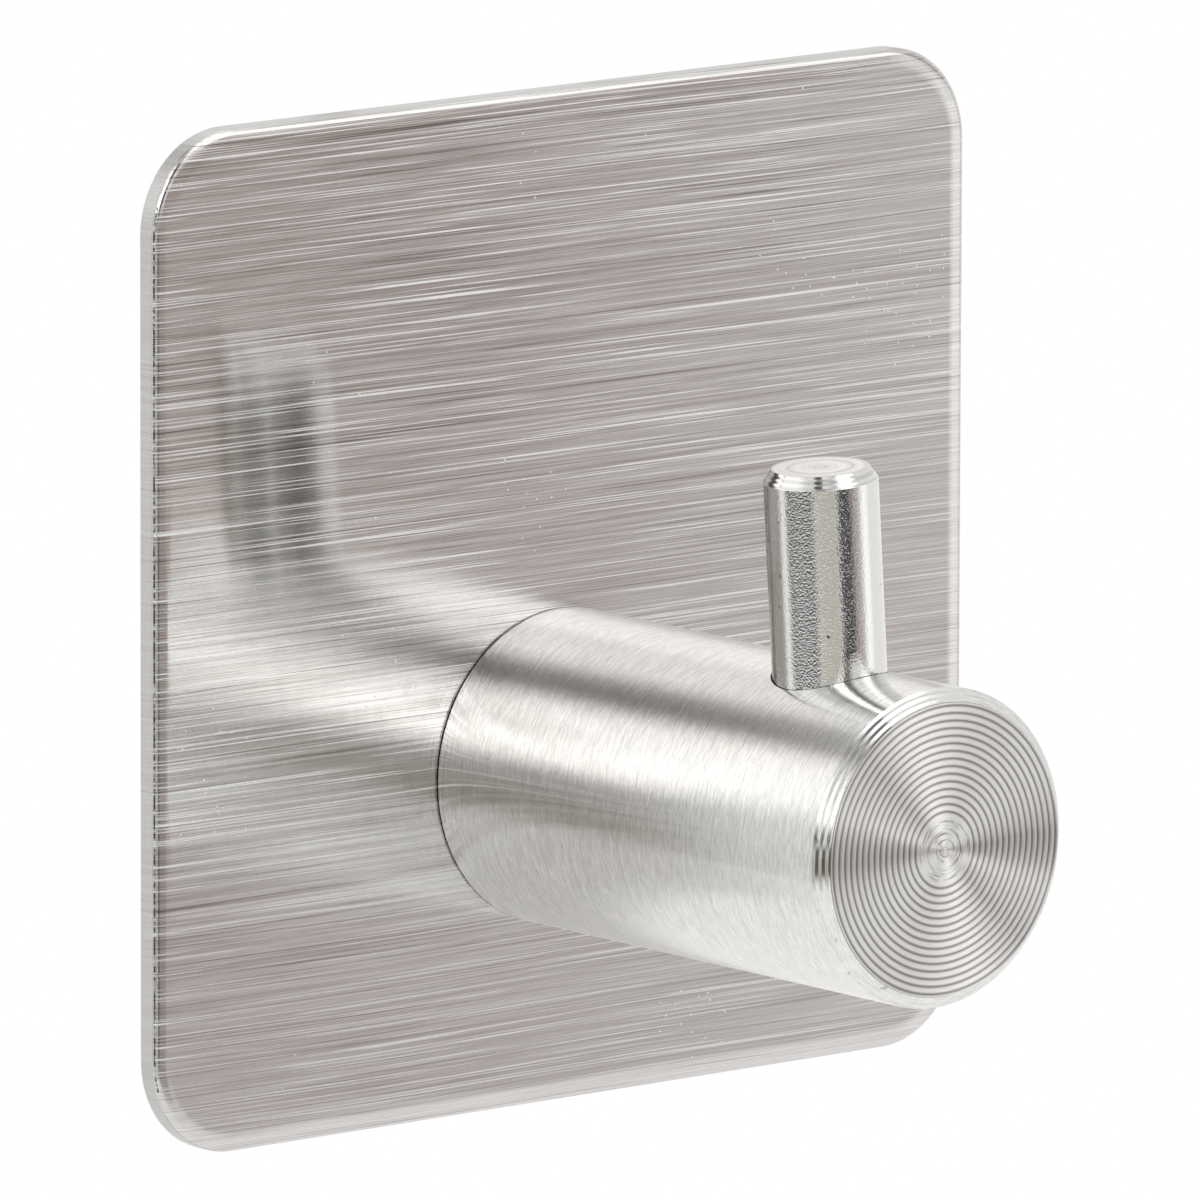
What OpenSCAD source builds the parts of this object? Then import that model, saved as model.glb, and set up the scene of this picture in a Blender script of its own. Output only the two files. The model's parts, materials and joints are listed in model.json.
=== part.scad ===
// Adhesive wall hook: a brushed steel plate, a turned post screwed on from behind and a pin pressed into it.
// Modelled lying on its back, with X to the right, Y up the wall and Z out of it, then stood up on the wall.
// The origin is the centre of the outer face of the release liner, which is the face that meets the wall.

/* [Back plate] */
// Width of the plate along the wall
plate_w = 46; // [36:0.5:70]
// Height of the plate up the wall
plate_h = 45; // [36:0.5:70]
// Thickness of the sheet
plate_t = 1.0; // [0.8:0.1:2]
// Radius of the plate's corners
corner_r = 4.4; // [3.5:0.1:8]
// Width of the strip along the front edge that polishing rounds gently
roll_in_w = 0.62; // [0.3:0.02:0.9]
// Tilt of the surface where that strip ends, in degrees
roll_in_tilt = 10; // [5:1:15]
// Width of the strip outside it that is rounded tightly
roll_out_w = 0.23; // [0.1:0.01:0.3]
// Tilt of the surface where this second strip ends, in degrees
roll_out_tilt = 45; // [35:1:45]
// Broken corner between the rounding and the cut edge
edge_break = 0.06; // [0.02:0.01:0.1]

/* [Hook post] */
// Diameter of the post
post_d = 14; // [12:0.5:20]
// Length of the post in front of the plate
post_len = 26; // [22:0.5:40]
// How far the post's axis lies below the middle of the plate
post_drop = 7.5; // [0:0.5:10]
// How far the post's axis lies to the right of that middle
post_shift = -0.3; // [-3:0.1:3]
// Angle at which the post is clamped, anticlockwise from upright
clamp_angle = 3.7; // [-15:0.1:15]
// Width of the bevel round the free end
rim_w = 0.6; // [0.3:0.05:1]
// Height of that bevel along the post
rim_h = 0.6; // [0.3:0.05:1]
// Bevel round the end that meets the plate
base_bevel = 0.12; // [0.05:0.01:0.3]
// Radius of the plain disc in the middle of the end face
disc_r = 1.4; // [0.8:0.1:2.5]
// Distance between the rings that facing leaves on the end
ring_pitch = 0.33; // [0.25:0.01:0.6]
// Depth of those rings
ring_depth = 0.05; // [0.02:0.01:0.08]
// Share of the pitch that a ring's groove takes up
ring_groove = 0.7; // [0.5:0.05:0.9]
// Turning marks along a bevel
bevel_marks = 3; // [2:1:5]
// Depth of those marks on the post
mark_depth = 0.025; // [0.01:0.005:0.04]

/* [Hook pin] */
// Diameter of the pin
pin_d = 5; // [3:0.1:6]
// Distance of the pin's axis from the free end of the post
pin_from_end = 7.2; // [5:0.1:9]
// How far the pin stands out of the post
pin_proud = 8.9; // [5:0.1:15]
// How deep the pin is pressed in
pin_seat = 9.5; // [6:0.1:10]
// Width of the bevel round the pin's top
pin_bevel_w = 0.38; // [0.2:0.02:0.6]
// Height of that bevel
pin_bevel_h = 0.55; // [0.3:0.05:0.8]
// Depth of the turning marks on that bevel
pin_mark_depth = 0.008; // [0.004:0.001:0.02]
// Bevel that leads the pin into its hole
pin_lead = 0.3; // [0.1:0.05:0.5]
// Interference of the press fit, on the radius
press = 0.01; // [0.005:0.005:0.02]
// Clear gap round the pin at the mouth of its hole
mouth_gap = 0.06; // [0.03:0.01:0.1]
// Depth of that gap under the lowest point of the mouth
mouth_depth = 0.4; // [0.2:0.1:1]
// Air left under the pin
pin_air = 0.3; // [0.1:0.1:1]

/* [Fixing screw] */
// Thread diameter of the screw
screw_d = 4; // [3:0.5:4.5]
// Thread pitch
screw_pitch = 0.7; // [0.5:0.05:0.8]
// Depth of the thread
thread_depth = 0.43; // [0.3:0.01:0.5]
// How far the screw reaches into the post
screw_reach = 9; // [7:0.5:10]
// Diameter of the countersunk head
head_d = 7; // [6:0.1:8]
// Straight land round the head
head_land = 0.2; // [0.1:0.05:0.3]
// How far the head lies below the back of the plate
head_sink = 0.1; // [0.05:0.05:0.3]
// Span of the cross recess
recess_span = 3.4; // [2.5:0.1:4]
// Width of its wings
recess_w = 0.9; // [0.6:0.1:1.2]
// Depth of the recess
recess_depth = 1.4; // [0.8:0.1:1.6]
// Clearance round the screw where it turns in the plate, on the radius
turn_gap = 0.05; // [0.02:0.01:0.1]
// Clearance between the screw's thread and the post's, on the radius
thread_gap = 0.06; // [0.03:0.01:0.1]
// Drilled depth left past the screw's tip
bore_past = 0.8; // [0.4:0.1:2]

/* [Adhesive] */
// Thickness of the foam pad
pad_t = 1.0; // [0.5:0.1:2]
// How far the pad's edge lies inside the plate's
pad_inset = 2; // [1.5:0.1:3]
// Thickness of the release liner
liner_t = 0.1; // [0.05:0.01:0.2]
// How far the liner reaches past the pad
liner_lip = 0.5; // [0:0.1:1]

/* [Hidden] */
$fn = 96;
cut_over = 1;
plate_back = liner_t + pad_t;
plate_front = plate_back + plate_t;
roll_steps = 6;
roll_in_r = roll_in_w / sin(roll_in_tilt);
roll_out_r = roll_out_w / (sin(roll_out_tilt) - sin(roll_in_tilt));
roll_start = corner_r - edge_break - roll_out_w - roll_in_w;
roll_in_centre = [roll_start, plate_t - roll_in_r];
roll_out_centre = roll_in_centre + (roll_in_r - roll_out_r) * [sin(roll_in_tilt), cos(roll_in_tilt)];
roll_end = roll_out_centre[1] + roll_out_r * cos(roll_out_tilt);
pad_r = corner_r - pad_inset;
post_r = post_d / 2;
post_end = plate_front + post_len;
face_r = post_r - rim_w;
ring_count = floor((face_r - disc_r) / ring_pitch);
pin_r = pin_d / 2;
pin_z = post_end - pin_from_end;
pin_top = post_r + pin_proud;
pin_foot = post_r - pin_seat;
saddle_drop = post_r - sqrt(post_r * post_r - pin_r * pin_r);
head_z = plate_back + head_sink;
cone_z = head_z + head_land;
root_r = screw_d / 2 - thread_depth;
cone_h = head_d / 2 - root_r;
thread_z = cone_z + cone_h;
tip_z = plate_front + screw_reach;
tip_bevel = thread_depth;
thread_turns = floor((tip_z - tip_bevel - thread_z) / screw_pitch);
thread_end = thread_z + thread_turns * screw_pitch;
crest_share = 0.2;

steel_brushed = [0.71, 0.69, 0.67];
steel_turned = [0.78, 0.78, 0.77];
steel_ground = [0.82, 0.82, 0.81];
steel_plated = [0.74, 0.75, 0.77];
foam_grey = [0.42, 0.42, 0.43];
film_red = [0.74, 0.12, 0.11];

// Turns a part that lies on its back up against the wall.
module on_wall() {
    rotate([90, 0, 0])
        children();
}

// Carries a part to the post's axis, at the angle at which the post is clamped.
module on_post() {
    translate([post_shift, -post_drop, 0])
        rotate([0, 0, clamp_angle])
            children();
}

// Carries a part to the pin's axis, square to the post.
module across_post() {
    translate([0, 0, pin_z])
        rotate([-90, 0, 0])
            children();
}

// A point part of the way along a line between two points.
function between(a, b, share) = a + (b - a) * share;

// A bevel from a to b with turning marks of a given depth cut into it; the last point is left out.
function turned_bevel(a, b, depth) =
    let (run = (b - a) / norm(b - a), inward = [-run[1], run[0]])
    [for (i = [0 : bevel_marks - 1]) each [
        between(a, b, i / bevel_marks),
        between(a, b, (i + 0.5) / bevel_marks) + inward * depth
    ]];

// The rings of a faced end at height z, from the rim inwards.
function faced_rings(z) =
    [for (i = [0 : ring_count - 1])
        let (r = face_r - i * ring_pitch)
        each [
            [r, z],
            [r - ring_pitch * ring_groove / 2, z - ring_depth],
            [r - ring_pitch * ring_groove, z]
        ]];

// The thread's ridges along the screw, or along the tapped bore when gap is its clearance.
function thread_ridges(gap) =
    [for (i = [0 : thread_turns - 1])
        let (z = thread_z + i * screw_pitch, half = screw_pitch / 2, crest = screw_pitch * crest_share / 2)
        each [
            [root_r + gap, z],
            [root_r + thread_depth + gap, z + half - crest],
            [root_r + thread_depth + gap, z + half + crest]
        ]];

// One arc of the rolled edge, from one tilt of the surface to another; the last point is left out.
function roll_arc(centre, r, tilt_a, tilt_b) =
    [for (i = [0 : roll_steps - 1])
        let (tilt = between(tilt_a, tilt_b, i / roll_steps))
        centre + r * [sin(tilt), cos(tilt)]];

// Half section of the plate from a corner's centre out to the cut edge, with the rolled front edge.
module edge_section() {
    polygon(concat(
        [[0, 0], [corner_r, 0], [corner_r, roll_end - edge_break]],
        roll_arc(roll_out_centre, roll_out_r, roll_out_tilt, roll_in_tilt),
        roll_arc(roll_in_centre, roll_in_r, roll_in_tilt, 0),
        [[roll_start, plate_t], [0, plate_t]]
    ));
}

// One straight edge of the plate, run long and centred, with its cut face towards X.
module edge_run(run) {
    translate([0, run / 2, 0])
        rotate([90, 0, 0])
            linear_extrude(run)
                edge_section();
}

// A flat sheet with round corners.
module round_sheet(w, h, r, t) {
    linear_extrude(t) {
        square([w - 2 * r, h], center = true);
        square([w, h - 2 * r], center = true);
        for (x = [-1, 1], y = [-1, 1])
            translate([x * (w / 2 - r), y * (h / 2 - r)])
                circle(r = r);
    }
}

// The room that the screw's head takes, open towards the wall.
module head_room(gap) {
    translate([0, 0, plate_back - cut_over])
        cylinder(r = head_d / 2 + gap, h = cone_z - plate_back + cut_over);
    translate([0, 0, cone_z])
        cylinder(r1 = head_d / 2 + gap, r2 = root_r + gap, h = cone_h);
}

// The plate before its hole is cut, made of a core, four straight edges and four corners.
module plate_blank() {
    core_w = plate_w - 2 * corner_r;
    core_h = plate_h - 2 * corner_r;
    translate([-core_w / 2, -core_h / 2, 0])
        cube([core_w, core_h, plate_t]);
    for (side = [0, 180])
        rotate([0, 0, side]) {
            translate([core_w / 2, 0, 0])
                edge_run(core_h);
            translate([0, core_h / 2, 0])
                rotate([0, 0, 90])
                    edge_run(core_w);
            translate([core_w / 2, core_h / 2, 0])
                rotate_extrude(angle = 90)
                    edge_section();
            translate([-core_w / 2, core_h / 2, 0])
                rotate([0, 0, 90])
                    rotate_extrude(angle = 90)
                        edge_section();
        }
}

module back_plate() {
    color(steel_brushed)
        on_wall()
            difference() {
                translate([0, 0, plate_back])
                    plate_blank();
                on_post() {
                    head_room(turn_gap);
                    translate([0, 0, plate_back])
                        cylinder(r = screw_d / 2 + turn_gap, h = plate_t + cut_over);
                }
            }
}

// The turned bar, with its bevels and its faced end.
module post_bar() {
    rotate_extrude()
        polygon(concat(
            [[0, plate_front], [post_r - base_bevel, plate_front], [post_r, plate_front + base_bevel]],
            turned_bevel([post_r, post_end - rim_h], [face_r, post_end], mark_depth),
            faced_rings(post_end),
            [[0, post_end]]
        ));
}

// The tapped bore that takes the screw, with its countersunk mouth.
module tapped_bore() {
    bore_r = root_r + thread_gap;
    bore_end = tip_z + bore_past;
    head_room(thread_gap);
    rotate_extrude()
        polygon(concat(
            [[0, thread_z]],
            thread_ridges(thread_gap),
            [[bore_r, thread_end], [bore_r, bore_end], [0, bore_end]]
        ));
}

// The hole that the pin is pressed into, with a clear ring round its mouth.
module pin_hole() {
    mouth_low = post_r - saddle_drop - mouth_depth;
    translate([0, 0, pin_foot - pin_air])
        cylinder(r = pin_r - press, h = post_r - pin_foot + pin_air + cut_over);
    translate([0, 0, mouth_low])
        cylinder(r = pin_r + mouth_gap, h = post_r - mouth_low + cut_over);
}

module hook_post() {
    color(steel_turned)
        on_wall()
            on_post()
                difference() {
                    post_bar();
                    tapped_bore();
                    across_post()
                        pin_hole();
                }
}

module hook_pin() {
    top_r = pin_r - pin_bevel_w;
    color(steel_ground)
        on_wall()
            on_post()
                across_post()
                    rotate_extrude()
                        polygon(concat(
                            [[0, pin_foot], [pin_r - pin_lead, pin_foot], [pin_r, pin_foot + pin_lead]],
                            turned_bevel([pin_r, pin_top - pin_bevel_h], [top_r, pin_top], pin_mark_depth),
                            [[top_r, pin_top], [0, pin_top]]
                        ));
}

// The cross recess in the screw's head, which narrows towards its floor.
module cross_recess() {
    floor_r = recess_w / 2;
    taper = (recess_span / 2 - floor_r) / recess_depth;
    mouth_r = recess_span / 2 + taper * cut_over;
    translate([0, 0, head_z - cut_over])
        intersection() {
            for (turn = [0, 90])
                rotate([0, 0, turn])
                    translate([-mouth_r, -recess_w / 2, 0])
                        cube([2 * mouth_r, recess_w, recess_depth + cut_over]);
            cylinder(r1 = mouth_r, r2 = floor_r, h = recess_depth + cut_over);
        }
}

module fixing_screw() {
    color(steel_plated)
        on_wall()
            on_post()
                difference() {
                    rotate_extrude()
                        polygon(concat(
                            [[0, head_z], [head_d / 2, head_z], [head_d / 2, cone_z]],
                            thread_ridges(0),
                            [[root_r, thread_end], [root_r, tip_z - tip_bevel]],
                            [[root_r - tip_bevel, tip_z], [0, tip_z]]
                        ));
                    cross_recess();
                }
}

module adhesive_pad() {
    color(foam_grey)
        on_wall()
            translate([0, 0, liner_t])
                round_sheet(plate_w - 2 * pad_inset, plate_h - 2 * pad_inset, pad_r, pad_t);
}

module release_liner() {
    color(film_red)
        on_wall()
            round_sheet(
                plate_w - 2 * pad_inset + 2 * liner_lip,
                plate_h - 2 * pad_inset + 2 * liner_lip,
                pad_r + liner_lip,
                liner_t
            );
}

back_plate();
hook_post();
hook_pin();
fixing_screw();
adhesive_pad();
release_liner();
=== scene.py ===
"""Looks of an adhesive wall hook: brushed plate, turned post, ground pin, foam pad and liner film.

Sizes are in millimetres unless a name says otherwise, and MM turns them into metres. The wall is the
plane y = 0, the hook stands out of it along -Y, and +Z is up.
"""

import json
import logging
import math
from dataclasses import dataclass
from enum import Enum
from functools import partial
from typing import Any

import bmesh
import bpy
from bpy.types import Material, Node, NodeSocket, NodeTree, Object
from mathutils import Matrix, Vector, noise


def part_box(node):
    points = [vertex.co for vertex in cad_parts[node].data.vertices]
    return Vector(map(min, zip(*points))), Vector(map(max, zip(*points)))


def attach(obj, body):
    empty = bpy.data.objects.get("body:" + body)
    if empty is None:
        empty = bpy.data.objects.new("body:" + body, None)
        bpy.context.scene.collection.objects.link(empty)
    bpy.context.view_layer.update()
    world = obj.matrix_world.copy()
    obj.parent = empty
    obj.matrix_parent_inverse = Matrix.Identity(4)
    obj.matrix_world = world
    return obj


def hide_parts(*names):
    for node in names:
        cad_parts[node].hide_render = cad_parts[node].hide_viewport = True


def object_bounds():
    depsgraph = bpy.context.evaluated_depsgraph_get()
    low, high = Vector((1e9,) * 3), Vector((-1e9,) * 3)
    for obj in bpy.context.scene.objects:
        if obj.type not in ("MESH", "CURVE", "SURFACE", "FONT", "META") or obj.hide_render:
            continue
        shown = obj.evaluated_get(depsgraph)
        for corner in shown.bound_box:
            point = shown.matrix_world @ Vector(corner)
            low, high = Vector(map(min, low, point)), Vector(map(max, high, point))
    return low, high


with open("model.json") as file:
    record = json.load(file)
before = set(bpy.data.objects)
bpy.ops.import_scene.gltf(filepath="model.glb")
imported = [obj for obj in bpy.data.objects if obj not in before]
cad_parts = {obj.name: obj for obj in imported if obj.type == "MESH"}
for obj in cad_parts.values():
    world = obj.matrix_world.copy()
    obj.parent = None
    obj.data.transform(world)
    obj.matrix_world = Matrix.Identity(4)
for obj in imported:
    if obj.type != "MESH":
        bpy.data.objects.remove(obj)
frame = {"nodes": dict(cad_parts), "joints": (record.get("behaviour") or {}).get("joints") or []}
CAD_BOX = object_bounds()

LOG = logging.getLogger("wall_hook")
MM = 0.001

# Where a pattern begins to count and where it counts in full, or two values that it runs between
Span = tuple[float, float]

# Sockets of the Mix node, for plain values and for colours
MIX_FACTOR, MIX_LOW, MIX_HIGH, MIX_A, MIX_B, MIX_RESULT = 0, 2, 3, 6, 7, 2
# Sockets of the Map Range node
VALUE, FROM_MIN, FROM_MAX, TO_MIN, TO_MAX = range(5)

# Mean of a brush pattern, and its values that give a metal its darkest and its lightest tone
MEAN, DARKEST, LIGHTEST = 0.5, 0.4, 0.6


class Body(Enum):
    """The bodies of the frame that pieces ride on."""

    WALL_PLATE = "wall_plate"
    LINER = "liner"


def linear(hex_colour: str) -> tuple[float, float, float, float]:
    """Turn an sRGB hex colour into linear RGBA.

    Args:
        hex_colour: Colour as "#RRGGBB".

    Returns:
        Red, green, blue and an alpha of 1, as Blender's sockets take them.
    """
    channels = [int(hex_colour[i:i + 2], 16) / 255 for i in (1, 3, 5)]
    red, green, blue = (c / 12.92 if c <= 0.04045 else ((c + 0.055) / 1.055) ** 2.4 for c in channels)
    return red, green, blue, 1.0


def add_node(tree: NodeTree, kind: str, inputs: dict[str | int, Any] | None = None,
             **settings: Any) -> Node:
    """Add one node with its settings and links.

    Args:
        tree: Node tree that gets the node.
        kind: Blender's type name of the node, without its usual prefix.
        inputs: For each input, a node or socket to link from or a constant value. A node stands for its
            first output.
        settings: Attributes of the node itself, such as its operation.

    Returns:
        The new node.
    """
    node = tree.nodes.new("ShaderNode" + kind)
    for name, value in settings.items():
        setattr(node, name, value)
    for key, value in (inputs or {}).items():
        if isinstance(value, Node):
            value = value.outputs[0]
        if isinstance(value, NodeSocket):
            tree.links.new(value, node.inputs[key])
        else:
            node.inputs[key].default_value = value
    return node


@dataclass(frozen=True)
class BrushLayer:
    """One family of brush lines: spacing across them, length along them, and share of the pattern."""

    pitch: float
    length: float
    share: float = 1.0


@dataclass(frozen=True)
class Finish:
    """A material with one Principled shader, which each finish below fills in."""

    name: str

    def start(self) -> tuple[Material, NodeTree, Node, NodeSocket]:
        """Make the empty material.

        Returns:
            The material, its node tree, its shader, and the object's own coordinates in metres.
        """
        material = bpy.data.materials.new(self.name)
        material.use_nodes = True
        tree = material.node_tree
        tree.nodes.clear()
        shader = add_node(tree, "BsdfPrincipled")
        add_node(tree, "OutputMaterial", {"Surface": shader})
        return material, tree, shader, add_node(tree, "TexCoord").outputs["Object"]

    def brush(self, tree: NodeTree, along: Any, across: Any, *layers: BrushLayer) -> Node:
        """Draw brush lines as noise that is stretched along the brushing.

        Args:
            tree: Node tree of the material.
            along: Point in metres, whose change along the lines counts.
            across: Distance across the lines in metres.
            layers: Families of lines that are added up.

        Returns:
            A node whose value is about 0 to 1, with a mean of 0.5 where the shares add up to 1.
        """
        node = partial(add_node, tree)
        total = 0.0
        for layer in layers:
            place = node("VectorMath", {0: along, "Scale": 1 / (layer.length * MM)}, operation="SCALE")
            step = node("Math", {0: across, 1: 1 / (layer.pitch * MM)}, operation="MULTIPLY")
            look = {"Vector": place, "W": step, "Scale": 1.0, "Detail": 2.0, "Roughness": 0.6}
            lines = node("TexNoise", look, noise_dimensions="4D")
            total = node("Math", {0: lines, 1: layer.share, 2: total}, operation="MULTIPLY_ADD")
        return total


@dataclass(frozen=True)
class Turning:
    """How a surface lies round an axis, as sockets and nodes of one material."""

    # Direction round the axis in the scene, which is the way a turned surface was cut
    along: Node
    # Point measured from a point on the axis, in metres
    point: Node
    # Distance from the axis, and distance along it
    radius: NodeSocket
    height: NodeSocket
    # Distance across the lines of cut, both on the side and on the end
    across: Node


@dataclass(frozen=True)
class Metal(Finish):
    """A bare or plated metal with two tones and a fine relief."""

    dark: str
    light: str
    roughness: float
    # Depth of the lines or grains that tilt the surface
    relief: float

    def cast(self, tree: NodeTree, shader: Node, tone: Any, height: Any) -> NodeSocket:
        """Set up the metal's colour and relief.

        Args:
            tree: Node tree of the material.
            shader: The material's shader.
            tone: Pattern from 0, the dark tone, to 1, the light one.
            height: Pattern of the relief, from 0 to 1.

        Returns:
            The colour, for a finish that adds marks to it.
        """
        tones = {MIX_FACTOR: tone, MIX_A: linear(self.dark), MIX_B: linear(self.light)}
        colour = add_node(tree, "Mix", tones, data_type="RGBA").outputs[MIX_RESULT]
        bump = add_node(tree, "Bump", {"Height": height, "Strength": 1.0, "Distance": self.relief * MM})
        tree.links.new(colour, shader.inputs["Base Color"])
        tree.links.new(bump.outputs[0], shader.inputs["Normal"])
        shader.inputs["Metallic"].default_value = 1.0
        shader.inputs["Roughness"].default_value = self.roughness
        return colour

    def stain(self, tree: NodeTree, shader: Node, colour: NodeSocket, marks: dict[str, Any]) -> None:
        """Lay marks of other tones over the metal's colour.

        Args:
            tree: Node tree of the material.
            shader: The material's shader.
            colour: The metal's own colour.
            marks: For each tone as hex, a pattern that is 1 where the mark covers the metal, from the
                lowest mark up.
        """
        for tone, cover in marks.items():
            layers = {MIX_FACTOR: cover, MIX_A: colour, MIX_B: linear(tone)}
            colour = add_node(tree, "Mix", layers, data_type="RGBA").outputs[MIX_RESULT]
        tree.links.new(colour, shader.inputs["Base Color"])

    def comb(self, tree: NodeTree, shader: Node, along: Node) -> None:
        """Make the metal mirror sharply along its lines and smear light across them.

        Args:
            tree: Node tree of the material.
            shader: The material's shader.
            along: Direction of the lines in the scene.
        """
        quarter_turn = 0.25
        tree.links.new(along.outputs[0], shader.inputs["Tangent"])
        shader.inputs["Anisotropic"].default_value = 1.0
        shader.inputs["Anisotropic Rotation"].default_value = quarter_turn

    def around(self, tree: NodeTree, point: NodeSocket, origin: Vector, axis: Vector) -> Turning:
        """Work out how the surface lies round an axis.

        Args:
            tree: Node tree of the material.
            point: Object coordinates in metres.
            origin: A point on the axis, in metres.
            axis: Direction of the axis, of length 1.

        Returns:
            The directions and distances.
        """
        node = partial(add_node, tree)
        from_axis = node("VectorMath", {0: point, 1: origin}, operation="SUBTRACT")
        turning = node("VectorMath", {0: axis, 1: from_axis}, operation="CROSS_PRODUCT")
        along = node("VectorTransform", {0: turning}, vector_type="VECTOR", convert_from="OBJECT",
                     convert_to="WORLD")
        radius = node("VectorMath", {0: turning}, operation="LENGTH").outputs["Value"]
        height = node("VectorMath", {0: from_axis, 1: axis}, operation="DOT_PRODUCT").outputs["Value"]
        across = node("Math", {0: radius, 1: height}, operation="ADD")
        return Turning(along, from_axis, radius, height, across)


@dataclass(frozen=True)
class BrushedSheet(Metal):
    """Stainless steel sheet, belt-brushed from side to side.

    The belt leaves long fine lines, so the sheet mirrors sharply along them and smears everything up and
    down. Lines cut to different depths show as warm grey streaks, the roughest as pale hairlines. The cut
    edge is plain satin, and handling leaves a few nicks.
    """

    name: str = "stainless_sheet_belt_brushed"
    dark: str = "#B3ADAB"
    light: str = "#DFDFDE"
    roughness: float = 0.11
    # The belt's grit cuts lines under 0.05 mm apart, which are drawn twice as coarse so that they show
    layers: tuple[BrushLayer, ...] = (
        BrushLayer(0.09, 22, 0.45),
        BrushLayer(0.35, 40, 0.25),
        BrushLayer(0.09, 5, 0.2),
        BrushLayer(0.08, 1.5, 0.1),
    )
    relief: float = 0.006
    # Hairlines, of which the deep ones scatter light and the shallow ones hold dark polish
    hairlines: BrushLayer = BrushLayer(0.072, 18)
    deep: Span = (0.57, 0.63)
    deep_tone: str = "#E6E6E5"
    deep_roughness: float = 0.42
    shallow: Span = (0.4, 0.34)
    shallow_tone: str = "#88807E"
    # The belt pressed harder at the upper left: strength of its lines at the lower right and there, and the
    # height plus the distance to the left, both from the middle, at which it is full
    bite: Span = (0.45, 1.0)
    bite_reach: float = 24.0
    # The belt wanders: its lines rise and fall by this much over about this length
    wander: float = 0.15
    wander_length: float = 20.0
    # The cut edge, which begins between these depths behind the front face, has this share of its own
    # tone; faint lines from the rolling of the sheet show through
    edge: Span = (0.176, 0.22)
    edge_tone: str = "#C9C9C7"
    edge_cover: float = 0.75
    # The left edge's burr, this wide and between these depths, with a painted dark reflection in grains
    burr: Span = (0.13, 0.18)
    burr_width: float = 0.3
    burr_reflection_tone: str = "#55514F"
    reflection_grain: float = 0.25
    reflection_grains: Span = (0.4, 0.55)
    # Nicks of this radius, bright within this share of it, one at most in each square of this side
    nick: float = 0.05
    nick_core: float = 0.6
    nick_spacing: float = 0.9
    # They gather in patches of about this size: where a patch begins, and the chance outside and inside
    patch_size: float = 8.0
    patch: Span = (0.64, 0.8)
    nick_chance: Span = (0.003, 0.6)
    # Direction of the lines, with a little of Y so that they have one on the upright edges as well
    along: tuple[float, float, float] = (1, 0.02, 0)

    def make(self, corner: Vector) -> Material:
        """Build the material.

        Args:
            corner: The front left lower corner of the sheet's box, in metres.

        Returns:
            The material.
        """
        material, tree, shader, point = self.start()
        node = partial(add_node, tree)
        place = node("SeparateXYZ", {0: point})
        drift = node("TexNoise", {"Vector": point, "Scale": 1 / (self.wander_length * MM), "Detail": 0.0})
        rise = node("MapRange", {VALUE: drift, TO_MIN: -self.wander * MM, TO_MAX: self.wander * MM})
        across = node("Math", {0: place.outputs["Z"], 1: rise}, operation="ADD")
        depth = node("Math", {0: place.outputs["Y"], 1: corner.y}, operation="SUBTRACT")
        edge = node("MapRange", {VALUE: depth, FROM_MIN: self.edge[0] * MM, FROM_MAX: self.edge[1] * MM})
        lines = self.brush(tree, point, across, *self.layers)
        relief = node("Mix", {MIX_FACTOR: edge, MIX_LOW: lines, MIX_HIGH: MEAN})
        bite = self.pressure(tree, place)
        streaks = node("MapRange", {VALUE: lines, FROM_MIN: DARKEST, FROM_MAX: LIGHTEST})
        tone = node("Mix", {MIX_FACTOR: bite, MIX_LOW: MEAN, MIX_HIGH: streaks})
        colour = self.cast(tree, shader, tone, relief)
        hair = self.brush(tree, point, across, self.hairlines)
        deep = node("MapRange", {VALUE: hair, FROM_MIN: self.deep[0], FROM_MAX: self.deep[1]})
        shallow = node("MapRange", {VALUE: hair, FROM_MIN: self.shallow[0], FROM_MAX: self.shallow[1]})
        scored = node("Math", {0: deep, 1: bite}, operation="MULTIPLY")
        polish = node("Math", {0: shallow, 1: bite}, operation="MULTIPLY")
        pale = node("Math", {0: scored, 1: self.nicks(tree, place)}, operation="MAXIMUM")
        cut = node("Math", {0: edge, 1: self.edge_cover}, operation="MULTIPLY")
        # Painted dark reflection along the burr of the left edge
        burr = self.burr_dark_reflection(tree, point, place, depth, corner)
        self.stain(tree, shader, colour, {self.shallow_tone: polish, self.deep_tone: pale,
                                          self.edge_tone: cut, self.burr_reflection_tone: burr})
        torn = node("Math", {0: pale, 1: edge}, operation="MAXIMUM")
        rough = node("MapRange", {VALUE: torn, TO_MIN: self.roughness, TO_MAX: self.deep_roughness})
        tree.links.new(rough.outputs[0], shader.inputs["Roughness"])
        self.comb(tree, shader, node("VectorTransform", {0: self.along}, vector_type="VECTOR",
                                     convert_from="OBJECT", convert_to="WORLD"))
        return material

    def pressure(self, tree: NodeTree, place: Node) -> Node:
        """Let the strength of the lines grow towards the upper left.

        Args:
            tree: Node tree of the material.
            place: Object coordinates in metres, taken apart.

        Returns:
            A node that gives the strength.
        """
        reach = self.bite_reach * MM
        slope = add_node(tree, "Math", {0: place.outputs["Z"], 1: place.outputs["X"]}, operation="SUBTRACT")
        return add_node(tree, "MapRange", {VALUE: slope, FROM_MIN: -reach, FROM_MAX: reach,
                                           TO_MIN: self.bite[0], TO_MAX: self.bite[1]})

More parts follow.
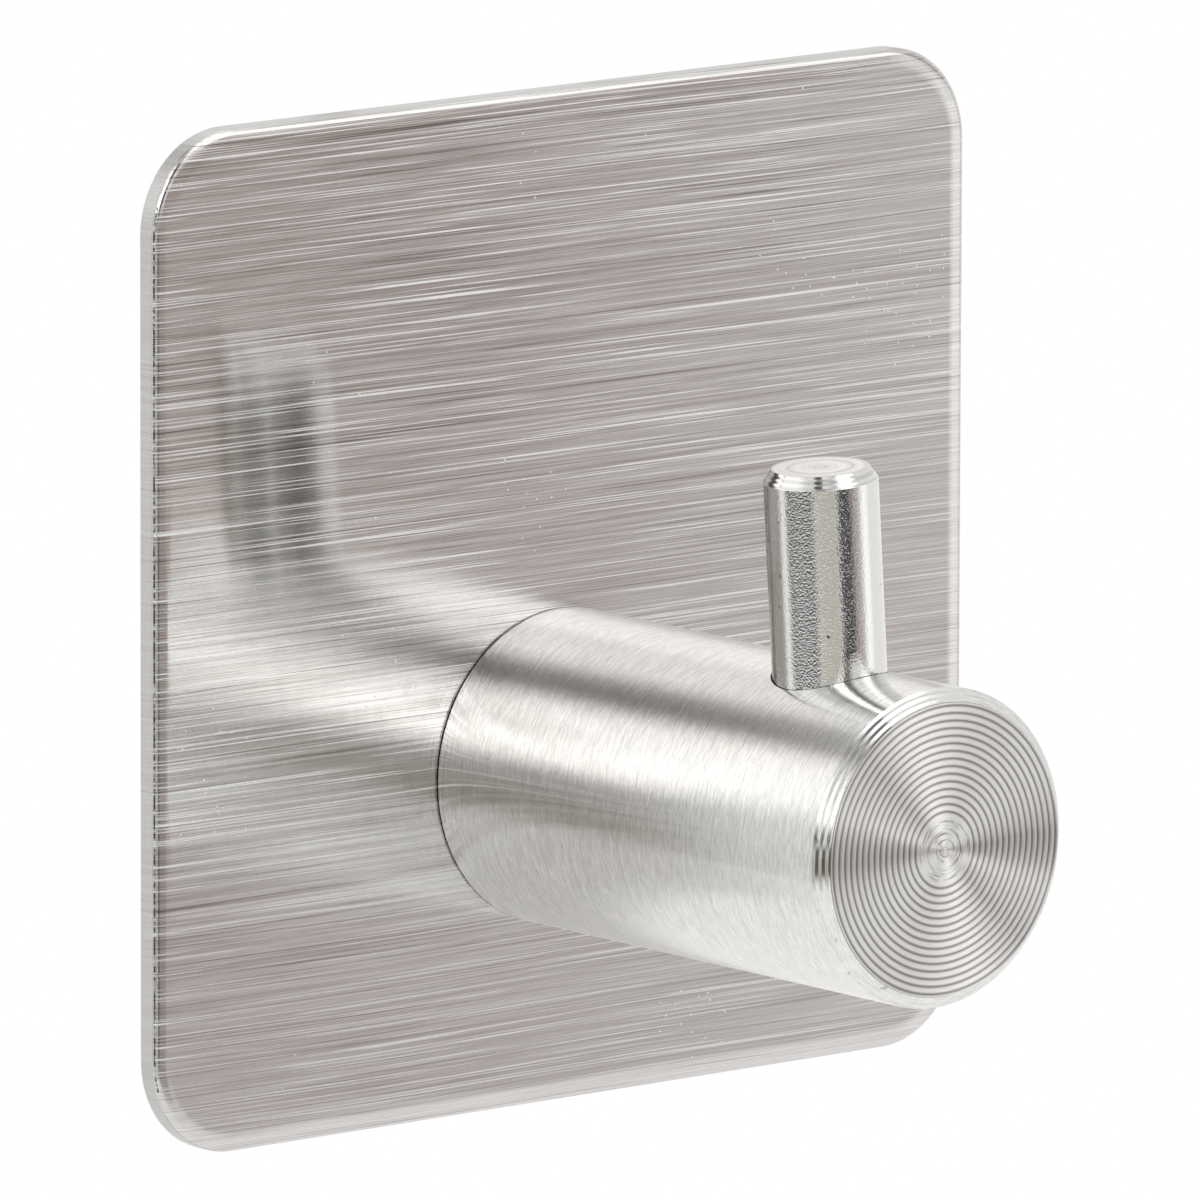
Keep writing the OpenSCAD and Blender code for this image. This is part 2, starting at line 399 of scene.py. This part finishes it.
    def burr_dark_reflection(self, tree: NodeTree, point: NodeSocket, place: Node, depth: Node,
                   corner: Vector) -> Node:
        """Paint a dark reflection, broken into grains, along the burr of the left edge.

        Args:
            tree: Node tree of the material.
            point: Object coordinates in metres.
            place: The same, taken apart.
            depth: Distance behind the front face, in metres.
            corner: The front left lower corner of the sheet's box, in metres.

        Returns:
            A node that is 1 on the painted reflection and 0 elsewhere.
        """
        node = partial(add_node, tree)
        grains = node("TexNoise", {"Vector": point, "Scale": 1 / (self.reflection_grain * MM), "Detail": 1.0})
        cover = node("MapRange", {VALUE: grains, FROM_MIN: self.reflection_grains[0], FROM_MAX: self.reflection_grains[1]})
        limits = ((depth, self.burr[0] * MM, "GREATER_THAN"), (depth, self.burr[1] * MM, "LESS_THAN"),
                  (place.outputs["X"], corner.x + self.burr_width * MM, "LESS_THAN"))
        for value, limit, test in limits:
            inside = node("Math", {0: value, 1: limit}, operation=test)
            cover = node("Math", {0: cover, 1: inside}, operation="MULTIPLY")
        return cover

    def nicks(self, tree: NodeTree, place: Node) -> Node:
        """Scatter small bright nicks.

        Args:
            tree: Node tree of the material.
            place: Object coordinates in metres, taken apart.

        Returns:
            A node that is 1 on a nick and 0 elsewhere.
        """
        node = partial(add_node, tree)
        face = node("CombineXYZ", {"X": place.outputs["X"], "Y": place.outputs["Z"]})
        cells = node("TexVoronoi", {"Vector": face, "Scale": 1 / (self.nick_spacing * MM)},
                     voronoi_dimensions="2D")
        reach = self.nick / self.nick_spacing
        spot = node("MapRange", {VALUE: cells.outputs["Distance"], FROM_MIN: reach,
                                 FROM_MAX: self.nick_core * reach})
        patches = node("TexNoise", {"Vector": face, "Scale": 1 / (self.patch_size * MM), "Detail": 0.0},
                       noise_dimensions="2D")
        chance = node("MapRange", {VALUE: patches, FROM_MIN: self.patch[0], FROM_MAX: self.patch[1],
                                   TO_MIN: self.nick_chance[0], TO_MAX: self.nick_chance[1]})
        draw = node("SeparateColor", {0: cells.outputs["Color"]})
        kept = node("Math", {0: draw, 1: chance}, operation="LESS_THAN")
        return node("Math", {0: spot, 1: kept}, operation="MULTIPLY")


@dataclass(frozen=True)
class TurnedBar(Metal):
    """Stainless steel bar, turned in a lathe and brushed round its axis.

    The lines run round the bar, so its bands of light and dark stay crisp round it and smear along it. The
    faced end has the same lines as circles, which give it two fans of light. Polish stays dark in the rings
    of the end, with painted shade in their grooves, and the seam at the foot has painted shade.
    """

    name: str = "stainless_bar_turned_brushed"
    dark: str = "#CCCCC9"
    light: str = "#E8E8E5"
    roughness: float = 0.17
    # Turning lines of about 0.03 mm, drawn twice as coarse so that they show
    layers: tuple[BrushLayer, ...] = (
        BrushLayer(0.07, 0.7, 0.5),
        BrushLayer(0.14, 2, 0.2),
        BrushLayer(0.06, 0.3, 0.3),
    )
    relief: float = 0.003
    # The faced end, down to this depth, is rougher and has this share of a brighter tone
    end_depth: float = 0.06
    end_roughness: float = 0.46
    end_tone: str = "#F3F2F0"
    end_cover: float = 0.8
    # Depths between which the rings of the end darken, with polish left in them and painted shade
    ring: Span = (0.0075, 0.0425)
    ring_polish_and_shade_tone: str = "#A09C99"
    # Heights above the foot between which the painted shade of the seam fades
    seam: Span = (0.07, 0.056)
    seam_shade_tone: str = "#1D1B1A"
    # The rim's bevel reaches this far, and has dark scuffs of about this size
    rim: float = 0.62
    scuff_size: float = 1.5
    scuff: Span = (0.62, 0.72)
    scuff_tone: str = "#726E6C"
    # The middle of the faced end, where the tool slowed down and left rough swirls
    disc_radius: float = 1.42
    swirl_lines: BrushLayer = BrushLayer(0.12, 1)
    swirl: Span = (0.5, 0.68)
    swirl_tone: str = "#8B8784"

    def make(self, origin: Vector, length: float) -> Material:
        """Build the material.

        Args:
            origin: Middle of the bar's foot, in metres. Its axis runs along Y, its free end towards -Y.
            length: Length of the bar in metres.

        Returns:
            The material.
        """
        material, tree, shader, point = self.start()
        node = partial(add_node, tree)
        turned = self.around(tree, point, origin, Vector((0, 1, 0)))
        lines = self.brush(tree, turned.point, turned.across, *self.layers)
        tone = node("MapRange", {VALUE: lines, FROM_MIN: DARKEST, FROM_MAX: LIGHTEST})
        colour = self.cast(tree, shader, tone, lines)
        depth = node("Math", {0: turned.height, 1: length}, operation="ADD")
        faced = node("Math", {0: depth, 1: self.end_depth * MM}, operation="LESS_THAN")
        bright = node("Math", {0: faced, 1: self.end_cover}, operation="MULTIPLY")
        marks = {self.end_tone: bright, **self.end_marks(tree, turned, depth, faced),
                 self.scuff_tone: self.scuffs(tree, point, depth, faced)}
        # Painted shade in the seam between the post's foot and the plate
        marks[self.seam_shade_tone] = node("MapRange", {VALUE: turned.height, FROM_MIN: -self.seam[0] * MM,
                                                  FROM_MAX: -self.seam[1] * MM})
        self.stain(tree, shader, colour, marks)
        rough = node("MapRange", {VALUE: faced, TO_MIN: self.roughness, TO_MAX: self.end_roughness})
        tree.links.new(rough.outputs[0], shader.inputs["Roughness"])
        self.comb(tree, shader, turned.along)
        return material

    def end_marks(self, tree: NodeTree, turned: Turning, depth: Node, faced: Node) -> dict[str, Node]:
        """Mark the faced end with swirls in its middle, and with polish and painted shade in its rings.

        Args:
            tree: Node tree of the material.
            turned: How the surface lies round the bar's axis.
            depth: Distance from the free end, in metres.
            faced: A node that is 1 on the faced end and 0 elsewhere.

        Returns:
            For each tone as hex, a node that is 1 on the mark.
        """
        node = partial(add_node, tree)
        strokes = self.brush(tree, turned.point, turned.across, self.swirl_lines)
        swirls = node("MapRange", {VALUE: strokes, FROM_MIN: self.swirl[0], FROM_MAX: self.swirl[1]})
        middle = node("Math", {0: turned.radius, 1: self.disc_radius * MM}, operation="LESS_THAN")
        disc = node("Math", {0: swirls, 1: middle}, operation="MULTIPLY")
        # Polish left in the rings of the end, together with painted shade in their grooves
        sunk = node("MapRange", {VALUE: depth, FROM_MIN: self.ring[0] * MM, FROM_MAX: self.ring[1] * MM})
        return {tone: node("Math", {0: mark, 1: faced}, operation="MULTIPLY")
                for tone, mark in ((self.swirl_tone, disc), (self.ring_polish_and_shade_tone, sunk))}

    def scuffs(self, tree: NodeTree, point: NodeSocket, depth: Node, faced: Node) -> Node:
        """Scuff the bevel round the free end.

        Args:
            tree: Node tree of the material.
            point: Object coordinates in metres.
            depth: Distance from the free end, in metres.
            faced: A node that is 1 on the faced end and 0 elsewhere.

        Returns:
            A node that is 1 on a scuff.
        """
        node = partial(add_node, tree)
        patches = node("TexNoise", {"Vector": point, "Scale": 1 / (self.scuff_size * MM), "Detail": 3.0,
                                    "Roughness": 0.7})
        worn = node("MapRange", {VALUE: patches, FROM_MIN: self.scuff[0], FROM_MAX: self.scuff[1]})
        near_end = node("Math", {0: depth, 1: self.rim * MM}, operation="LESS_THAN")
        on_rim = node("Math", {0: near_end, 1: faced}, operation="SUBTRACT")
        return node("Math", {0: worn, 1: on_rim}, operation="MULTIPLY")


@dataclass(frozen=True)
class GroundPin(Metal):
    """Stainless steel pin, centreless ground.

    Grinding leaves a bright, nearly mirror-like round with a fine sparkling grain, so bands of light stay
    sharp and break into salt and pepper where light and dark meet. A few pits stay dark, and the faced top
    has faint circles.
    """

    name: str = "stainless_pin_ground"
    dark: str = "#A2A2A0"
    light: str = "#DEDEDC"
    roughness: float = 0.1
    # Grains of about 0.03 mm, drawn 3 times coarser so that they show
    grain: float = 0.09
    relief: float = 0.009
    # The bevel and the top, which are inside this radius, were faced and have no grain but circles
    ground_radius: float = 2.47
    circle_lines: BrushLayer = BrushLayer(0.22, 20)
    circle: Span = (0.33, 0.62)
    pit_size: float = 0.45
    pit: Span = (0.72, 0.76)
    pit_tone: str = "#77726D"

    def make(self, origin: Vector, axis: Vector) -> Material:
        """Build the material.

        Args:
            origin: A point on the pin's axis, in metres.
            axis: Direction of that axis, of length 1.

        Returns:
            The material.
        """
        material, tree, shader, point = self.start()
        node = partial(add_node, tree)
        turned = self.around(tree, point, origin, axis)
        lines = self.brush(tree, turned.point, turned.radius, self.circle_lines)
        circles = node("MapRange", {VALUE: lines, FROM_MIN: self.circle[0], FROM_MAX: self.circle[1]})
        grains = node("TexNoise", {"Vector": point, "Scale": 1 / (self.grain * MM), "Detail": 1.0,
                                   "Roughness": 0.5})
        ground = node("Math", {0: turned.radius, 1: self.ground_radius * MM}, operation="GREATER_THAN")
        relief = node("Math", {0: grains, 1: ground}, operation="MULTIPLY")
        tone = node("Math", {0: circles, 1: ground}, operation="MAXIMUM")
        colour = self.cast(tree, shader, tone, relief)
        spots = node("TexNoise", {"Vector": point, "Scale": 1 / (self.pit_size * MM), "Detail": 2.0})
        pits = node("MapRange", {VALUE: spots, FROM_MIN: self.pit[0], FROM_MAX: self.pit[1]})
        self.stain(tree, shader, colour, {self.pit_tone: pits})
        return material


@dataclass(frozen=True)
class ZincPlate(Metal):
    """Steel screw, bright zinc plated: a cool grey metal with a faint cloudy bloom."""

    name: str = "steel_zinc_plated"
    dark: str = "#A9ADB2"
    light: str = "#D5D8DC"
    roughness: float = 0.32
    # Clouds of about this size, whose dark and light parts have these shares of that roughness
    cloud_size: float = 0.8
    cloud: Span = (0.35, 0.65)
    cloud_roughness: Span = (1.3, 0.8)
    relief: float = 0.002

    def make(self) -> Material:
        """Build the material.

        Returns:
            The material.
        """
        material, tree, shader, point = self.start()
        node = partial(add_node, tree)
        clouds = node("TexNoise", {"Vector": point, "Scale": 1 / (self.cloud_size * MM), "Detail": 3.0})
        tone = node("MapRange", {VALUE: clouds, FROM_MIN: self.cloud[0], FROM_MAX: self.cloud[1]})
        self.cast(tree, shader, tone, clouds)
        dull, bright = (share * self.roughness for share in self.cloud_roughness)
        rough = node("MapRange", {VALUE: tone, TO_MIN: dull, TO_MAX: bright})
        tree.links.new(rough.outputs[0], shader.inputs["Roughness"])
        return material


@dataclass(frozen=True)
class AcrylicFoam(Finish):
    """Closed-cell acrylic foam, die cut.

    A matt dark grey with fine round cells, slightly shiny where it is tacky.
    """

    name: str = "acrylic_foam_die_cut"
    cell_floor: str = "#56565A"
    cell_wall: str = "#7C7C7F"
    # Roughness of a cell's floor and of its wall
    roughness: Span = (0.75, 0.5)
    ior: float = 1.47
    # Cells of about 0.1 mm, drawn 3 times larger so that they show, and how strongly their depth shows
    cell_size: float = 0.3
    cell: Span = (0.15, 0.6)
    cell_depth: float = 0.04
    cell_relief: float = 0.6

    def make(self) -> Material:
        """Build the material.

        Returns:
            The material.
        """
        material, tree, shader, point = self.start()
        node = partial(add_node, tree)
        cells = node("TexVoronoi", {"Vector": point, "Scale": 1 / (self.cell_size * MM)})
        wall = node("MapRange", {VALUE: cells, FROM_MIN: self.cell[0], FROM_MAX: self.cell[1]})
        tones = {MIX_FACTOR: wall, MIX_A: linear(self.cell_floor), MIX_B: linear(self.cell_wall)}
        colour = node("Mix", tones, data_type="RGBA")
        bump = node("Bump", {"Height": wall, "Strength": self.cell_relief,
                             "Distance": self.cell_depth * MM})
        rough = node("MapRange", {VALUE: wall, TO_MIN: self.roughness[0], TO_MAX: self.roughness[1]})
        tree.links.new(colour.outputs[MIX_RESULT], shader.inputs["Base Color"])
        tree.links.new(bump.outputs[0], shader.inputs["Normal"])
        tree.links.new(rough.outputs[0], shader.inputs["Roughness"])
        shader.inputs["IOR"].default_value = self.ior
        return material


@dataclass(frozen=True)
class PolyethyleneFilm(Finish):
    """Polyethylene film, blown and satin: an even red with faint streaks from the drawing of the film."""

    name: str = "polyethylene_film_satin"
    deep: str = "#B2231F"
    pale: str = "#BF2B27"
    # Roughness of the deep and of the pale streaks
    roughness: Span = (0.34, 0.42)
    ior: float = 1.51
    streak_lines: BrushLayer = BrushLayer(1.4, 25)
    streak: Span = (0.35, 0.65)

    def make(self) -> Material:
        """Build the material.

        Returns:
            The material.
        """
        material, tree, shader, point = self.start()
        node = partial(add_node, tree)
        rise = node("SeparateXYZ", {0: point}).outputs["Z"]
        lines = self.brush(tree, point, rise, self.streak_lines)
        tone = node("MapRange", {VALUE: lines, FROM_MIN: self.streak[0], FROM_MAX: self.streak[1]})
        tones = {MIX_FACTOR: tone, MIX_A: linear(self.deep), MIX_B: linear(self.pale)}
        colour = node("Mix", tones, data_type="RGBA")
        rough = node("MapRange", {VALUE: tone, TO_MIN: self.roughness[0], TO_MAX: self.roughness[1]})
        tree.links.new(colour.outputs[MIX_RESULT], shader.inputs["Base Color"])
        tree.links.new(rough.outputs[0], shader.inputs["Roughness"])
        shader.inputs["IOR"].default_value = self.ior
        return material


def dress_node(node: str, material: Material) -> None:
    """Give a CAD node its finish.

    Args:
        node: Name of the node.
        material: Material that takes the place of the plain one.
    """
    piece = frame["nodes"][node]
    piece.data.materials.clear()
    piece.data.materials.append(material)
    LOG.info("dressed %s in %s", node, material.name)


def round_rectangle(width: float, height: float, radius: float, corner_steps: int = 10,
                    side_steps: int = 18) -> list[tuple[float, float]]:
    """Walk round a rectangle with round corners.

    Args:
        width: Size in x.
        height: Size in z.
        radius: Radius of the corners.
        corner_steps: Steps along each corner's arc.
        side_steps: Steps along each straight side.

    Returns:
        Points in x and z, anticlockwise from the right side's upper end, each once.
    """
    half_x, half_z = width / 2 - radius, height / 2 - radius
    centres = [(half_x, half_z), (-half_x, half_z), (-half_x, -half_z), (half_x, -half_z)]
    points = []
    for quarter, (x, z) in enumerate(centres):
        for step in range(corner_steps + 1):
            angle = math.pi / 2 * (quarter + step / corner_steps)
            points.append((x + radius * math.cos(angle), z + radius * math.sin(angle)))
        next_x, next_z = centres[(quarter + 1) % 4]
        turned = math.pi / 2 * (quarter + 1)
        start, end = points[-1], (next_x + radius * math.cos(turned), next_z + radius * math.sin(turned))
        for step in range(1, side_steps):
            share = step / side_steps
            points.append((start[0] + (end[0] - start[0]) * share, start[1] + (end[1] - start[1]) * share))
    return points


def skin_loops(name: str, loops: list[list[Vector]]) -> Object:
    """Close a solid over a row of loops of equal length.

    Args:
        name: Name of the new object.
        loops: Loops of points in metres, from one end of the solid to the other.

    Returns:
        The object, linked to the scene, with smooth faces.
    """
    mesh = bmesh.new()
    rows = [[mesh.verts.new(point) for point in loop] for loop in loops]
    count = len(rows[0])
    for row, following in zip(rows, rows[1:]):
        for i in range(count):
            mesh.faces.new((row[i], row[(i + 1) % count], following[(i + 1) % count], following[i]))
    mesh.faces.new(reversed(rows[0]))
    mesh.faces.new(rows[-1])
    bmesh.ops.recalc_face_normals(mesh, faces=mesh.faces)
    data = bpy.data.meshes.new(name)
    mesh.to_mesh(data)
    mesh.free()
    data.polygons.foreach_set("use_smooth", [True] * len(data.polygons))
    piece = bpy.data.objects.new(name, data)
    bpy.context.scene.collection.objects.link(piece)
    return piece


@dataclass
class SoftSheet:
    """A thin soft layer behind the plate, as wide and as thick as its CAD solid leaves room for."""

    node: str
    corner_radius: float
    least_radius: float = 0.4
    # Insets of the loops that cover each face, from the edge inwards
    face_insets: tuple[float, ...] = (0.5, 1.5, 3.0, 5.0, 7.5, 10.0, 13.0, 16.0, 19.0)

    def outline(self, inset: float) -> list[tuple[float, float]]:
        """Give the sheet's outline, drawn in by the inset, in x and z.

        Args:
            inset: Distance from the sheet's edge.

        Returns:
            Points round the outline, each once.
        """
        low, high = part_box(self.node)
        width, height = (high.x - low.x) / MM - 2 * inset, (high.z - low.z) / MM - 2 * inset
        return round_rectangle(width, height, max(self.corner_radius - inset, self.least_radius))

    def faces(self) -> Span:
        """Give the y of the sheet's front and back faces, in millimetres."""
        low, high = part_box(self.node)
        return low.y / MM, high.y / MM


@dataclass
class WallPlate:
    """The brushed plate and the foam pad that sticks it to the wall."""

    plate_finish: BrushedSheet = BrushedSheet()
    pad_finish: AcrylicFoam = AcrylicFoam()
    pad_corner: float = 2.4
    # How far the die-cut edge of the foam draws in at its two faces, in this many steps across it
    pad_crown: float = 0.16
    pad_steps: int = 8
    # How uneven the cut is, its waves per millimetre along the edge, how many times more of them there are
    # across it, and how far in from the edge all that reaches
    pad_unevenness: float = 0.05
    pad_waves: float = 0.9
    pad_waves_across: float = 3.0
    pad_border: float = 0.5

    def build(self) -> None:
        """Model the foam pad with its soft, slightly uneven edge."""
        sheet = SoftSheet("adhesive_pad", self.pad_corner)
        front, back = sheet.faces()
        thickness = back - front
        edge = []
        for step in range(self.pad_steps + 1):
            share = step / self.pad_steps
            edge.append((self.pad_crown * (2 * share - 1) ** 4, front + thickness * share))
        rows = [(inset, front) for inset in reversed(sheet.face_insets)] + edge
        rows += [(inset, back) for inset in sheet.face_insets]
        loops = []
        for inset, y in rows:
            uneven = self.pad_unevenness if inset < self.pad_border else 0.0
            loop = []
            for x, z in sheet.outline(inset + self.pad_unevenness):
                place = Vector((x, self.pad_waves_across * y, z)) * self.pad_waves
                shift = noise.noise(place) * uneven
                length = math.hypot(x, z)
                loop.append(Vector((x + x / length * shift, y, z + z / length * shift)) * MM)
            loops.append(loop)
        pad = skin_loops("foam_pad", loops)
        pad.data.materials.append(self.pad_finish.make())
        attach(pad, Body.WALL_PLATE.value)
        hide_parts("adhesive_pad")
        LOG.info("built foam_pad, %.1f mm thick", thickness)

    def dress(self) -> None:
        """Give the plate its brushed finish."""
        dress_node("back_plate", self.plate_finish.make(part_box("back_plate")[0]))


@dataclass
class Hook:
    """The turned post with its pin and its screw, which turn together."""

    post_finish: TurnedBar = TurnedBar()
    pin_finish: GroundPin = GroundPin()
    screw_finish: ZincPlate = ZincPlate()
    # Distance of the pin's axis from the post's free end, and its lean to the left in degrees
    pin_from_end: float = 7.2
    pin_lean: float = 3.7

    def foot(self) -> Vector:
        """Give the middle of the post's foot, which the hook turns about, in metres."""
        turn = next(joint for joint in frame["joints"] if joint["name"] == "post_turn")
        return Vector(turn["pos_m"])

    def dress(self) -> None:
        """Give the post, the pin and the screw their finishes."""
        foot, free_end = self.foot(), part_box("hook_post")[0].y
        dress_node("hook_post", self.post_finish.make(foot, foot.y - free_end))
        lean = math.radians(self.pin_lean)
        pin_point = Vector((foot.x, free_end + self.pin_from_end * MM, foot.z))
        pin_axis = Vector((-math.sin(lean), 0, math.cos(lean)))
        dress_node("hook_pin", self.pin_finish.make(pin_point, pin_axis))
        dress_node("fixing_screw", self.screw_finish.make())


@dataclass
class Liner:
    """The release film on the back of the pad."""

    finish: PolyethyleneFilm = PolyethyleneFilm()
    corner: float = 2.9
    film: float = 0.05
    # How far the cut edge of the film draws in at its two faces
    edge_round: float = 0.02
    # The film lies in shallow waves this high and about this long, which run two ways in x and z
    wave: float = 0.02
    wave_length: float = 17.0
    wave_ways: tuple[Span, Span] = ((1.0, 0.4), (-0.3, 1.3))

    def lift(self, x: float, z: float) -> float:
        """Give how far the film lifts off the pad at a point.

        Args:
            x: Place along the wall.
            z: Place up the wall.

        Returns:
            A distance between nothing and the wave's height.
        """
        turn = 2 * math.pi / self.wave_length
        waves = [math.sin(turn * (way_x * x + way_z * z)) for way_x, way_z in self.wave_ways]
        return self.wave * (0.5 + 0.5 * sum(waves) / len(waves))

    def build(self) -> None:
        """Model the film as a thin sheet that waves a little, within the space of its solid."""
        sheet = SoftSheet("release_liner", self.corner)
        front, back = sheet.faces()
        slack = (back - front - self.film - self.wave) / 2
        inner = front + slack
        rows = [(inset, 0.0) for inset in reversed(sheet.face_insets)]
        rows += [(self.edge_round, 0.0), (0.0, self.film / 2), (self.edge_round, self.film)]
        rows += [(inset, self.film) for inset in sheet.face_insets]
        loops = [[Vector((x, inner + depth + self.lift(x, z), z)) * MM for x, z in sheet.outline(inset)]
                 for inset, depth in rows]
        film = skin_loops("liner_film", loops)
        film.data.materials.append(self.finish.make())
        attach(film, Body.LINER.value)
        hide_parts("release_liner")
        LOG.info("built liner_film, %.2f mm thick", self.film)


@dataclass(frozen=True)
class Card:
    """A soft-edged panel of the studio, far away, as the object sees it.

    Angles are in degrees. Azimuth 0 is straight out from the wall and grows to the right; elevation grows
    upwards.
    """

    name: str
    azimuth: float
    elevation: float
    half_width: float
    half_height: float
    feather: float
    tone: str
    strength: float = 1.0


@dataclass
class Studio:
    """Floor, soft surroundings and camera."""

    surround: str = "#FEFEFD"
    # Laid out, fitted by a program to what the object reflects in the photograph, rounded, and then
    # changed where renders differed
    cards: tuple[Card, ...] = (
        Card("softbox high right", 23, 46, 22, 13, 8, "#FFFFFF", 2.2),
        Card("softbox behind left", -124, 37, 32, 22, 10, "#FFFFFF", 1.45),
        Card("grey wall left", -87, -8, 31, 9, 3, "#4D4C4C"),
        Card("grey wall right", 61, 13, 12, 11, 4, "#C4BFB8"),
        Card("dark ceiling", -50, 79, 60, 14, 5, "#4F4F4F"),
        Card("softbox over the camera", -36, 26, 14.5, 17, 4, "#FFFFFF", 3.3),
        Card("dark ceiling left", -50, 44, 10, 19, 3, "#696766"),
        Card("window right", 37, 22, 11, 12, 4, "#FFFFFF", 2.2),
        Card("dark flag", -12, 23, 9.5, 22, 3.5, "#6B6361"),
        Card("warm table", -33, -12, 22, 7, 4, "#C7C2B9"),
        Card("dark horizon", -25, 1, 18, 4, 3, "#7D776E"),
        Card("dark gap in front", 10, -10.5, 19, 6, 2.5, "#3C3B3B"),
        Card("warm wall right", 29.5, -3, 11, 10, 2.2, "#B8ADA8"),
        Card("strip light right", 54, -10, 8, 10, 3, "#FFFFFF", 1.3),
    )
    floor_drop: float = 90.0
    floor_radius: float = 300.0
    floor_sides: int = 128
    floor_colour: str = "#F4F4F4"
    # Lifts the floor to plain white for the camera and in reflections, so that only a shadow shows on it
    floor_lift: float = 0.13
    # Where the photograph was taken from, as fitted to its outlines: the line of sight passes through aim
    azimuth: float = -39.70
    elevation: float = 10.0
    roll: float = 0.16
    distance: float = 933.6
    aim: tuple[float, float, float] = (1.147, -3.093, -0.180)
    # Focal length in pixels of the photograph's frame
    focal: float = 21283.0
    frame_width: float = 1200.0
    sensor: float = 36.0
    # Nearest and farthest distance that the camera sees, in metres
    clip: Span = (0.01, 100.0)

    def surroundings(self) -> None:
        """Set a pale world with the studio's panels, plain white behind the object."""
        world = bpy.data.worlds.new("studio")
        bpy.context.scene.world = world
        world.use_nodes = True
        tree = world.node_tree
        tree.nodes.clear()
        node = partial(add_node, tree)
        part = node("SeparateXYZ", {0: node("TexCoord").outputs["Generated"]})
        out = node("Math", {0: part.outputs["Y"], 1: -1.0}, operation="MULTIPLY")
        azimuth = node("Math", {0: part.outputs["X"], 1: out}, operation="ARCTAN2")
        elevation = node("Math", {0: part.outputs["Z"]}, operation="ARCSINE")
        colour = linear(self.surround)
        for card in self.cards:
            inside = []
            for angle, middle, half in ((azimuth, card.azimuth, card.half_width),
                                        (elevation, card.elevation, card.half_height)):
                away = node("Math", {0: angle, 1: math.radians(middle)}, operation="SUBTRACT")
                wrapped = node("Math", {0: away, 1: math.pi, 2: -math.pi}, operation="WRAP")
                size = node("Math", {0: wrapped}, operation="ABSOLUTE")
                rim = {VALUE: size, FROM_MIN: math.radians(half + card.feather),
                       FROM_MAX: math.radians(half - card.feather)}
                inside.append(node("MapRange", rim, interpolation_type="SMOOTHSTEP"))
            share = node("Math", {0: inside[0], 1: inside[1]}, operation="MULTIPLY")
            tone = [channel * card.strength for channel in linear(card.tone)[:3]] + [1.0]
            layers = {MIX_FACTOR: share, MIX_A: colour, MIX_B: tone}
            colour = node("Mix", layers, data_type="RGBA").outputs[MIX_RESULT]
        seen = node("LightPath").outputs["Is Camera Ray"]
        shown = node("Mix", {MIX_FACTOR: seen, MIX_A: colour, MIX_B: linear("#FFFFFF")}, data_type="RGBA")
        glow = node("Background", {"Color": shown.outputs[MIX_RESULT], "Strength": 1.0})
        node("OutputWorld", {"Surface": glow})
        LOG.info("set the surroundings with %d panels", len(self.cards))

    def floor(self) -> None:
        """Lay a plain white round floor under the object."""
        mesh = bmesh.new()
        bmesh.ops.create_circle(mesh, cap_ends=True, segments=self.floor_sides,
                                radius=self.floor_radius * MM)
        data = bpy.data.meshes.new("floor")
        mesh.to_mesh(data)
        mesh.free()
        floor = bpy.data.objects.new("floor", data)
        floor.location.z = CAD_BOX[0].z - self.floor_drop * MM
        bpy.context.scene.collection.objects.link(floor)
        material = bpy.data.materials.new("floor_white_matt")
        material.use_nodes = True
        tree = material.node_tree
        tree.nodes.clear()
        node = partial(add_node, tree)
        matt = node("BsdfDiffuse", {"Color": linear(self.floor_colour)})
        path = node("LightPath").outputs
        seen = node("Math", {0: path["Is Camera Ray"], 1: path["Is Glossy Ray"]}, operation="MAXIMUM")
        through = node("Math", {0: seen, 1: path["Is Transmission Ray"]}, operation="MAXIMUM")
        lift = node("Math", {0: through, 1: self.floor_lift}, operation="MULTIPLY")
        both = node("AddShader", {0: matt, 1: node("Emission", {"Strength": lift})})
        node("OutputMaterial", {"Surface": both})
        floor.data.materials.append(material)
        LOG.info("laid the floor %.0f mm below the object", self.floor_drop)

    def camera(self) -> None:
        """Stand the camera where the photograph was taken."""
        around, up = math.radians(self.azimuth), math.radians(self.elevation)
        back = Vector((math.sin(around) * math.cos(up), -math.cos(around) * math.cos(up), math.sin(up)))
        lens = bpy.data.cameras.new("camera")
        lens.sensor_width = self.sensor
        lens.lens = self.focal / self.frame_width * self.sensor
        lens.clip_start, lens.clip_end = self.clip
        camera = bpy.data.objects.new("camera", lens)
        bpy.context.scene.collection.objects.link(camera)
        turned = back.to_track_quat("Z", "Y").to_matrix() @ Matrix.Rotation(math.radians(self.roll), 3, "Z")
        place = (Vector(self.aim) + back * self.distance) * MM
        camera.matrix_world = Matrix.Translation(place) @ turned.to_4x4()
        bpy.context.scene.camera = camera
        LOG.info("stood the camera %.0f mm away", self.distance)

    def build(self) -> None:
        """Set up the whole studio."""
        self.surroundings()
        self.floor()
        self.camera()
        bpy.context.scene.view_settings.view_transform = "Standard"


def main() -> None:
    """Build and dress the hook piece by piece, then set up the studio."""
    logging.basicConfig(level=logging.INFO, format="%(name)s: %(message)s")
    plate = WallPlate()
    plate.build()
    plate.dress()
    Hook().dress()
    Liner().build()
    Studio().build()


if __name__ == "__main__":
    main()
